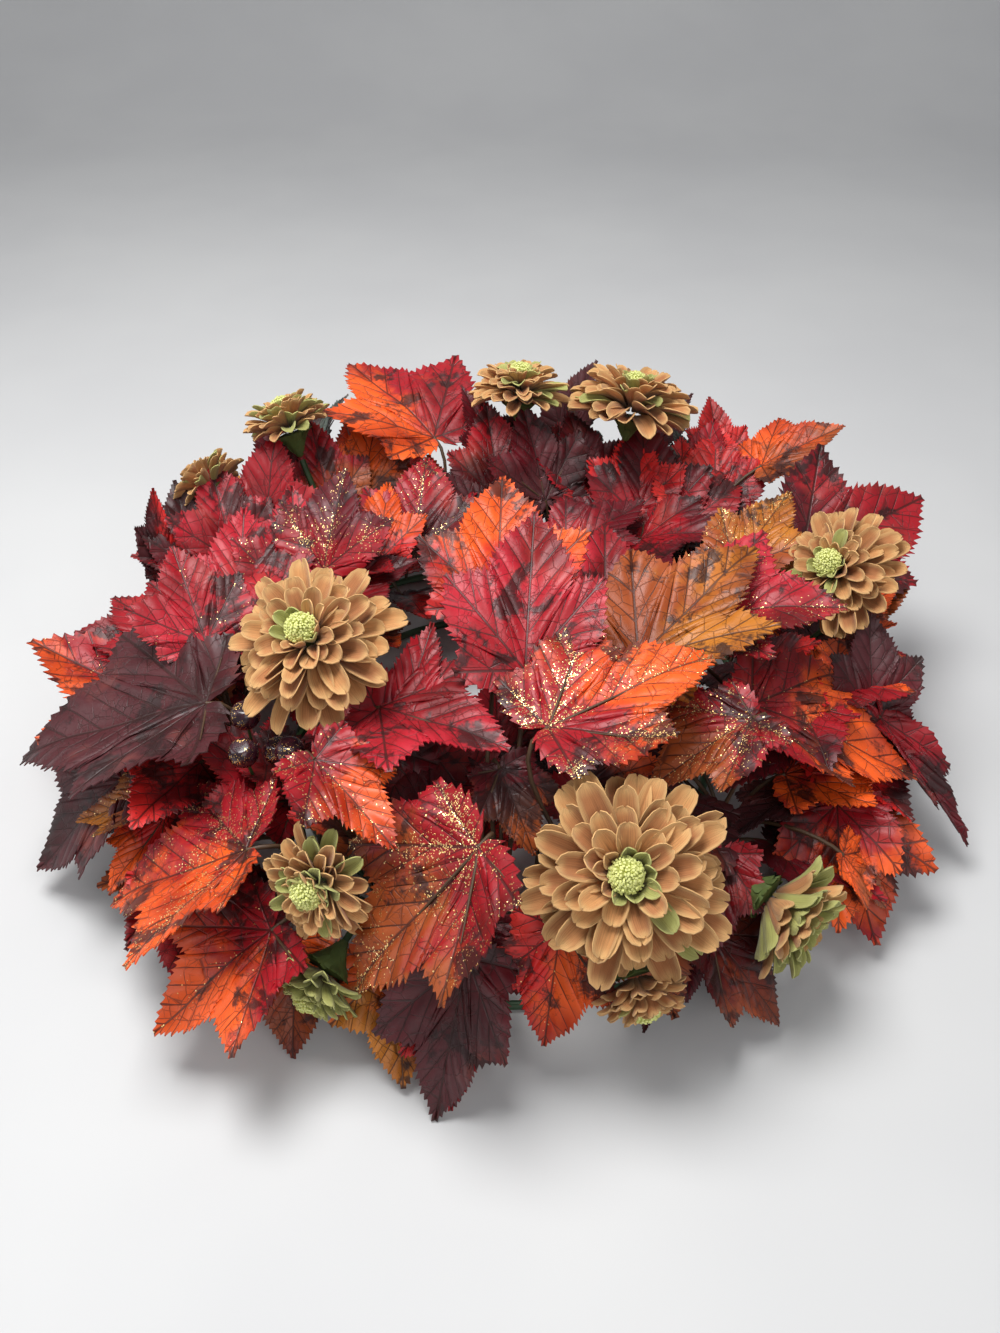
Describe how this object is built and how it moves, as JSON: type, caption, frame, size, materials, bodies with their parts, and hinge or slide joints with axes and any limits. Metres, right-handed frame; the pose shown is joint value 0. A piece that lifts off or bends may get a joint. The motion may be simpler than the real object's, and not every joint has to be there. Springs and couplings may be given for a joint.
{
  "type": "autumn door wreath",
  "caption": "Round autumn wreath of fabric maple leaves, zinnias and glitter berries on a flat wire frame, with a swinging loop to hang it and blooms that nod on their stems.",
  "frame": {"origin": "centre of the wreath's back, on the surface that it lies on", "axes": "+Z out of the wreath's front, +Y towards its top when it hangs, +X to its right seen from the front"},
  "size_m": [0.572, 0.5225, 0.1888],
  "materials": {
    "coated_wire": "dark green coated steel wire",
    "stem_plastic": "moulded stem over soft wire",
    "calyx_plastic": "moulded green cup",
    "petal_fabric": "heat-set matt petal fabric",
    "button_flock": "flocked flower centre",
    "berry_plastic": "glossy, with gold glitter",
    "leaf_fabric": "printed, heat-set satin fabric with glitter"
  },
  "bodies": {
    "wreath": {"outer_ring": "coated_wire", "inner_ring": "coated_wire", "crown_ring": "coated_wire", "cross_tie_1": "coated_wire", "cross_tie_2": "coated_wire", "cross_tie_3": "coated_wire", "cross_tie_4": "coated_wire", "zinnia_1_stem": "stem_plastic", "zinnia_2_stem": "stem_plastic", "zinnia_3_stem": "stem_plastic", "zinnia_4_stem": "stem_plastic", "zinnia_5_stem": "stem_plastic", "zinnia_6_stem": "stem_plastic", "zinnia_7_stem": "stem_plastic", "zinnia_8_stem": "stem_plastic", "bud_1": "petal_fabric", "bud_2": "petal_fabric", "berry_1": "berry_plastic", "berry_2": "berry_plastic", "berry_3": "berry_plastic", "berry_4": "berry_plastic", "maple_leaf_01": "leaf_fabric", "maple_leaf_02": "leaf_fabric", "maple_leaf_03": "leaf_fabric", "maple_leaf_04": "leaf_fabric", "maple_leaf_05": "leaf_fabric", "maple_leaf_06": "leaf_fabric", "maple_leaf_07": "leaf_fabric", "maple_leaf_08": "leaf_fabric", "maple_leaf_09": "leaf_fabric", "maple_leaf_10": "leaf_fabric", "maple_leaf_11": "leaf_fabric", "maple_leaf_12": "leaf_fabric", "maple_leaf_13": "leaf_fabric", "maple_leaf_14": "leaf_fabric", "maple_leaf_15": "leaf_fabric", "maple_leaf_16": "leaf_fabric", "maple_leaf_17": "leaf_fabric", "maple_leaf_18": "leaf_fabric", "maple_leaf_19": "leaf_fabric", "maple_leaf_20": "leaf_fabric", "maple_leaf_21": "leaf_fabric", "maple_leaf_22": "leaf_fabric", "maple_leaf_23": "leaf_fabric", "maple_leaf_24": "leaf_fabric"},
    "zinnia_1_bloom": {"zinnia_1_calyx": "calyx_plastic", "zinnia_1_petals": "petal_fabric", "zinnia_1_button": "button_flock"},
    "zinnia_2_bloom": {"zinnia_2_calyx": "calyx_plastic", "zinnia_2_petals": "petal_fabric", "zinnia_2_button": "button_flock"},
    "zinnia_3_bloom": {"zinnia_3_calyx": "calyx_plastic", "zinnia_3_petals": "petal_fabric", "zinnia_3_button": "button_flock"},
    "zinnia_4_bloom": {"zinnia_4_head": "petal_fabric"},
    "zinnia_5_bloom": {"zinnia_5_head": "petal_fabric"},
    "zinnia_6_bloom": {"zinnia_6_head": "petal_fabric"},
    "zinnia_7_bloom": {"zinnia_7_head": "petal_fabric"},
    "zinnia_8_bloom": {"zinnia_8_head": "petal_fabric"},
    "loop": {"hanging_loop": "coated_wire"}
  },
  "joints": [
    {"name": "zinnia_1_nod", "type": "hinge", "parent": "wreath", "child": "zinnia_1_bloom", "pos_m": [-0.08941, -0.07826, 0.13776], "axis": [0.866, -0.5, 0], "range_deg": [-10, 10]},
    {"name": "zinnia_2_nod", "type": "hinge", "parent": "wreath", "child": "zinnia_2_bloom", "pos_m": [0.06208, -0.18436, 0.09469], "axis": [0.9781, -0.2079, 0], "range_deg": [-10, 10]},
    {"name": "zinnia_3_nod", "type": "hinge", "parent": "wreath", "child": "zinnia_3_bloom", "pos_m": [0.21698, 0.01893, 0.11655], "axis": [0.4226, -0.9063, 0], "range_deg": [-10, 10]},
    {"name": "zinnia_4_nod", "type": "hinge", "parent": "wreath", "child": "zinnia_4_bloom", "pos_m": [0.01349, 0.19287, 0.13139], "axis": [-0.9976, 0.0698, 0], "range_deg": [-10, 10]},
    {"name": "zinnia_5_nod", "type": "hinge", "parent": "wreath", "child": "zinnia_5_bloom", "pos_m": [0.08892, 0.18231, 0.12355], "axis": [-0.8988, 0.4384, 0], "range_deg": [-10, 10]},
    {"name": "zinnia_6_nod", "type": "hinge", "parent": "wreath", "child": "zinnia_6_bloom", "pos_m": [-0.13805, 0.1588, 0.12434], "axis": [-0.7547, -0.6561, 0], "range_deg": [-10, 10]},
    {"name": "zinnia_7_nod", "type": "hinge", "parent": "wreath", "child": "zinnia_7_bloom", "pos_m": [-0.07336, -0.17118, 0.0919], "axis": [0.866, -0.5, 0], "range_deg": [-10, 10]},
    {"name": "zinnia_8_nod", "type": "hinge", "parent": "wreath", "child": "zinnia_8_bloom", "pos_m": [0.12132, -0.16321, 0.06995], "axis": [0.6691, 0.7431, 0], "range_deg": [-10, 10]},
    {"name": "hanging_loop_swing", "type": "hinge", "parent": "wreath", "child": "loop", "pos_m": [0, 0.16456, 0.0265], "axis": [1, 0, 0], "range_deg": [0, 85]}
  ]
}
